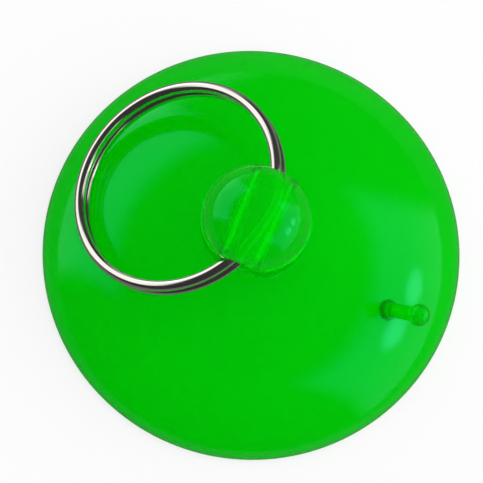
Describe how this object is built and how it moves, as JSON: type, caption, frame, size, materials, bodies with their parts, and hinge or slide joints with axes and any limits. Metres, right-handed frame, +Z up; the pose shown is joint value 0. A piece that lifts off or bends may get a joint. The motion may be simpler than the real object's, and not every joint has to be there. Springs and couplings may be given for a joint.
{
  "type": "suction cup with split ring",
  "caption": "Small translucent suction cup with a ball knob, a lift tab by the lip and a steel split ring through the knob, for holding and lifting smooth flat panels.",
  "frame": {"origin": "centre of the sealing plane under the lip, on the surface that the cup stands on", "axes": "+Z up through the knob; the knob's cross hole along Y; the ring is folded down over -X; the lift tab stands near the lip towards +X"},
  "size_m": [0.055, 0.055, 0.0254],
  "materials": {
    "moulding": "glossy translucent green soft PVC",
    "ring_wire": "bright nickel-plated spring steel"
  },
  "bodies": {
    "cup": {"cup_skirt": "moulding"},
    "crown": {"knob": "moulding"},
    "ring": {"split_ring": "ring_wire"},
    "tab": {"lift_tab": "moulding"}
  },
  "joints": [
    {"name": "crown_travel", "type": "slide", "parent": "cup", "child": "crown", "axis": [0, 0, 1], "range_m": [-0.0025, 0.002], "stiffness_N_per_m": 1500, "deforming": ["cup_skirt"]},
    {"name": "ring_swing", "type": "hinge", "parent": "crown", "child": "ring", "pos_m": [0, 0, 0.0185], "axis": [0, 1, 0], "range_deg": [0, 211]},
    {"name": "tab_bend", "type": "hinge", "parent": "crown", "child": "tab", "pos_m": [0.01961, -0.00154, 0.0077], "axis": [0.0785, 0.9969, 0], "range_deg": [-25, 25], "stiffness_Nm_per_rad": 0.001}
  ]
}
